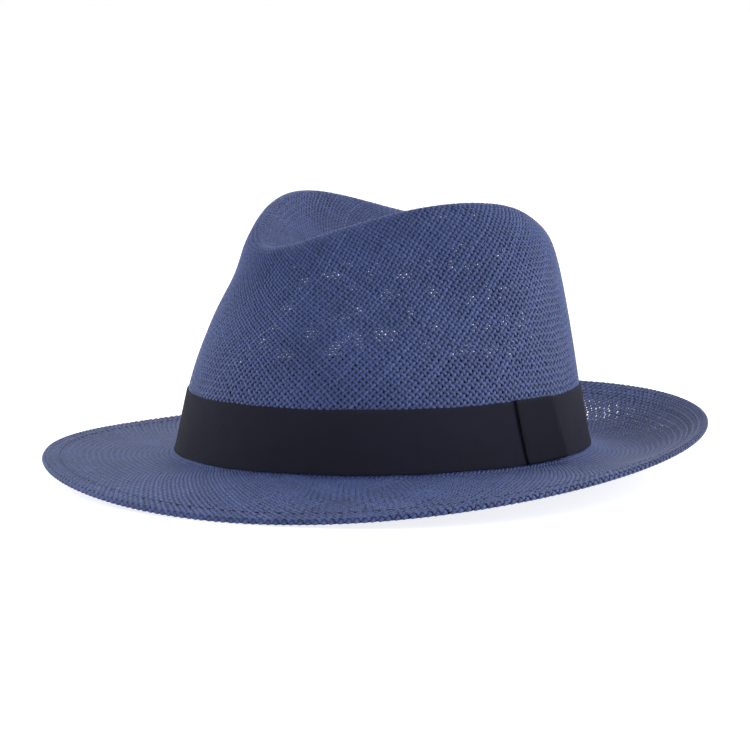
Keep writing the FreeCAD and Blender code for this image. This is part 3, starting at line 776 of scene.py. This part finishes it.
def label_patch(material):
    """Small woven label that thins to its edges."""
    across, up = 25, 13
    length_share, height_share = (q.ravel() for q in np.meshgrid(np.linspace(0, 1, across),
                                                                 np.linspace(0, 1, up)))
    angle = np.radians(LABEL_ANGLES[0] + (LABEL_ANGLES[1] - LABEL_ANGLES[0]) * length_share)
    height = LABEL_BOTTOM + (LABEL_TOP - LABEL_BOTTOM) * height_share
    rim = np.minimum(np.minimum(length_share, 1 - length_share) * LABEL_LENGTH,
                     np.minimum(height_share, 1 - height_share) * (LABEL_TOP - LABEL_BOTTOM))
    thin = LABEL_THICKNESS * np.clip(rim / 0.5, 0.3, 1)
    on_band = wall_point(angle, height, inside_stand(0) + 0 * angle)
    face = wall_point(angle, height, inside_stand(0) - thin)
    grid = np.arange(across * up).reshape(up, across)
    quads = np.stack([grid[:-1, :-1], grid[:-1, 1:], grid[1:, 1:], grid[1:, :-1]], -1).reshape(-1, 4)
    loop = np.concatenate([grid[0, :-1], grid[:-1, -1], grid[-1, :0:-1], grid[:0:-1, 0]])
    after, shift = np.roll(loop, -1), across * up
    walls = np.stack([loop, loop + shift, after + shift, after], -1)
    faces = np.concatenate([quads, (quads + shift)[:, ::-1], walls])
    uv = np.stack([CLOTH_RADIUS * angle, height], -1)
    return mesh_piece("size_label_tape", np.concatenate([on_band, face]), faces, material, "size_label",
                      np.concatenate([uv, uv]))


# ---------------------------------------------------------------- build
STRAW = straw_material()
BAND_CLOTH = cloth_material("navy_band_cotton", (0.013, 0.014, 0.030), (0.024, 0.0255, 0.050), 3.0)
# Painted shade: the keeper is the band's cloth made darker, for the shade on its flat front ply.
KEEPER_SHADED_CLOTH = cloth_material("navy_keeper_cotton_painted_shade", (0.009, 0.0095, 0.021), (0.017, 0.018, 0.036), 3.0,
                              sheen=0.04)
SWEAT_TAPE = cloth_material("ribbed_sweatband_tape", (0.011, 0.014, 0.034), (0.022, 0.027, 0.055), 1.6,
                            rib=0.8)
LABEL_TAPE = cloth_material("white_label_satin", (0.62, 0.62, 0.60), (0.80, 0.80, 0.78), 5.0, sheen=0.1,
                            rough=(0.4, 0.55))
BLUE_THREAD = thread_material("blue_sewing_thread", (0.012, 0.018, 0.06), (0.03, 0.045, 0.13))
DARK_THREAD = thread_material("navy_sewing_thread", (0.008, 0.009, 0.02), (0.02, 0.022, 0.04))
WHITE_THREAD = thread_material("white_sewing_thread", (0.55, 0.55, 0.53), (0.75, 0.75, 0.72))

# Stages of the weave, which gains strands outwards so that their pitch stays near 2 mm:
# from and to along v, and strands in each lay. The brim's stage runs on round the hem. A turn-in is
# how deep the two ends of a strand are tucked in, in millimetres.
CROWN_TOP = ((0.0, 0.36, 10), (0.3, 0.85, 20), (0.75, 1.5, 42), (1.4, 2.5, 78), (2.4, 4.2, 132))
CROWN_SIDE = (4.1, 10.92, 180)
BRIM = (10.75, EDGE + pi * FOLD_RADIUS + HEM_WIDTH - 0.2, 288)
TOP_TURN_IN, SIDE_TURN_IN, BRIM_TURN_IN = 0.25, 0.3, 0.0


def halves(name, stage, lay, turn_in):
    """The strands of one lay of a stage, as two pieces."""
    lines = strands(*stage, lay, turn_in)
    half = stage[-1] // 2
    for part in (0, 1):
        group = slice(part * half, part * half + half)
        strand_piece("%s_%d" % (name, part + 1), [tuple(q[group] for q in lines)], STRAW)


for lay, hand in ((1, "left"), (-1, "right")):
    top_lines = [strands(*stage, lay, TOP_TURN_IN) for stage in CROWN_TOP]
    strand_piece("crown_top_strands_" + hand, top_lines, STRAW)
    halves("crown_side_strands_" + hand, CROWN_SIDE, lay, SIDE_TURN_IN)
    halves("brim_strands_" + hand, BRIM, lay, BRIM_TURN_IN)
brim_wire_loop(wire_material())
hem_seam(BLUE_THREAD)

band = cloth_ring("hat_band_cloth", BAND_BOTTOM, BAND_TOP, band_lift, BAND_THICKNESS, BAND_CLOTH,
                  "hat_band", 0.10, 0.22)
keeper = keeper_loop(KEEPER_SHADED_CLOTH)
sweat = cloth_ring("sweatband_tape", SWEATBAND_BOTTOM, SWEATBAND_TOP, sweatband_lift, SWEATBAND_THICKNESS,
                   SWEAT_TAPE, "sweatband", 0.0, 0.1)

band_seam(DARK_THREAD)
band_tacks(DARK_THREAD)
sweatband_seam(DARK_THREAD)
sweatband_join(DARK_THREAD)
label = label_patch(LABEL_TAPE)
label_seam(WHITE_THREAD)

# ---------------------------------------------------------------- floor, light and camera
CAMERA_AZIMUTH, CAMERA_PITCH, CAMERA_ROLL = 45.1, 6.37, 0.46
CAMERA_DISTANCE, CAMERA_LENS = 1.419, 147.9
CAMERA_CENTRE = Vector((0, 0, 0.0515))              # what the distance is counted from
CAMERA_AIM = Vector((-0.0031, -0.0031, 0.0338))
# The floor's painted shadow under the crown covers this oval.
CROWN_OVAL = (0.086, 0.104)  # half width and half length of the floor's patch under the crown


def floor_paper():
    """Pale paper that glows a little; the glow fades out under the crown as a painted shadow, where no studio
    light reaches.
    """
    n = Nodes("studio_paper")
    seen = n.add("ShaderNodeLightPath").outputs["Is Camera Ray"]
    glow = n.add("ShaderNodeMapRange", {0: seen, 3: 0.3, 4: 0.8}).outputs[0]
    # Painted shadow: inside the crown's oval the glow fades to 0.08 of itself.
    crown_oval = n.add("ShaderNodeMapping", {"Vector": n.add("ShaderNodeTexCoord").outputs["Object"],
                                             "Scale": (1 / CROWN_OVAL[0], 1 / CROWN_OVAL[1], 1)}).outputs[0]
    away = n.add("ShaderNodeVectorMath", {0: crown_oval}, operation="LENGTH").outputs["Value"]
    painted_shadow_fade = n.add("ShaderNodeMapRange", {0: away, 1: 0.7, 2: 1.05, 3: 0.08, 4: 1.0},
                     interpolation_type="SMOOTHSTEP").outputs[0]
    n.set(Base_Color=(0.7, 0.7, 0.7, 1), Roughness=0.9, Emission_Color=(1, 1, 1, 1),
          Emission_Strength=n.math("MULTIPLY", glow, painted_shadow_fade))
    return n.material


def studio_floor():
    """Wide flat floor just below the lowest point of the hat."""
    lowest = min(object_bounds()[0].z, CAD_BOX[0].z)
    mesh = bpy.data.meshes.new("studio_floor")
    mesh.from_pydata([(-30, -30, 0), (30, -30, 0), (30, 30, 0), (-30, 30, 0)], [], [(0, 1, 2, 3)])
    mesh.materials.append(floor_paper())
    floor = bpy.data.objects.new("studio_floor", mesh)
    floor.location.z = lowest - 0.0002
    bpy.context.scene.collection.objects.link(floor)
    floor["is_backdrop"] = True


def smooth_range(tree, value, ends, levels):
    """A value between two ends turned into one between two levels, each a number or a link."""
    node = tree.nodes.new("ShaderNodeMapRange")
    node.interpolation_type = "SMOOTHSTEP"
    tree.links.new(value, node.inputs[0])
    for key, number in enumerate((*ends, *levels), 1):
        if isinstance(number, bpy.types.NodeSocket):
            tree.links.new(number, node.inputs[key])
        else:
            node.inputs[key].default_value = number
    return node.outputs[0]


def studio_air():
    """Studio that is bright low behind the hat and dimmer on the near side; the backdrop shows white."""
    world = bpy.data.worlds.new("studio_air")
    bpy.context.scene.world = world
    world.use_nodes = True
    tree = world.node_tree
    background = tree.nodes["Background"]
    background.inputs["Color"].default_value = (1, 1, 1, 1)
    direction = tree.nodes.new("ShaderNodeTexCoord").outputs["Generated"]
    backdrop_side = tree.nodes.new("ShaderNodeVectorMath")
    backdrop_side.operation = "DOT_PRODUCT"
    tree.links.new(direction, backdrop_side.inputs[0])
    azimuth = radians(CAMERA_AZIMUTH)
    backdrop_side.inputs[1].default_value = (-sin(azimuth), cos(azimuth), 0)
    height = tree.nodes.new("ShaderNodeSeparateXYZ")
    tree.links.new(direction, height.inputs[0])
    far_level = smooth_range(tree, height.outputs[2], (0.15, 0.6), (1.0, 0.42))
    near_level = smooth_range(tree, height.outputs[2], (0.2, 0.8), (0.57, 0.26))
    level = smooth_range(tree, backdrop_side.outputs["Value"], (-0.4, 0.8), (near_level, far_level))
    seen = tree.nodes.new("ShaderNodeMix")
    tree.links.new(tree.nodes.new("ShaderNodeLightPath").outputs["Is Camera Ray"], seen.inputs[0])
    tree.links.new(level, seen.inputs[2])
    seen.inputs[3].default_value = 1.0
    tree.links.new(seen.outputs[0], background.inputs["Strength"])


def toward(azimuth, elevation):
    """Direction from the hat, with the azimuth counted from the hat's front over the wearer's left."""
    a, e = radians(azimuth), radians(elevation)
    return Vector((sin(a) * cos(e), -cos(a) * cos(e), sin(e)))


def soft_box(name, azimuth, elevation, distance, size, power):
    """Square soft light that faces the hat."""
    lamp = bpy.data.lights.new(name, "AREA")
    lamp.shape = "SQUARE"
    lamp.size = size
    lamp.energy = power
    box = bpy.data.objects.new(name, lamp)
    back = toward(azimuth, elevation)
    box.location = back * distance + Vector((0, 0, 0.05))
    box.rotation_euler = (-back).to_track_quat("-Z", "Y").to_euler()
    bpy.context.scene.collection.objects.link(box)


def studio_camera():
    """Camera at the viewing angle of the picture, with a long lens."""
    place = CAMERA_CENTRE + toward(CAMERA_AZIMUTH, CAMERA_PITCH) * CAMERA_DISTANCE
    turn = (CAMERA_AIM - place).to_track_quat("-Z", "Y").to_matrix().to_4x4()
    camera = bpy.data.objects.new("camera", bpy.data.cameras.new("camera"))
    camera.data.lens = CAMERA_LENS
    camera.data.sensor_width = 36
    camera.data.clip_start = 0.05
    camera.data.clip_end = 100
    camera.matrix_world = Matrix.Translation(place) @ turn @ Matrix.Rotation(radians(CAMERA_ROLL), 4, "Z")
    bpy.context.scene.collection.objects.link(camera)
    bpy.context.scene.camera = camera


studio_floor()
studio_air()
soft_box("left_soft_box", CAMERA_AZIMUTH - 90, 30, 2.2, 1.2, 13)
soft_box("right_soft_box", CAMERA_AZIMUTH + 84, 25, 2.0, 1.2, 16)
soft_box("top_soft_box", CAMERA_AZIMUTH + 180, 62, 2.4, 1.6, 12)
studio_camera()
bpy.context.scene.view_settings.view_transform = "Standard"
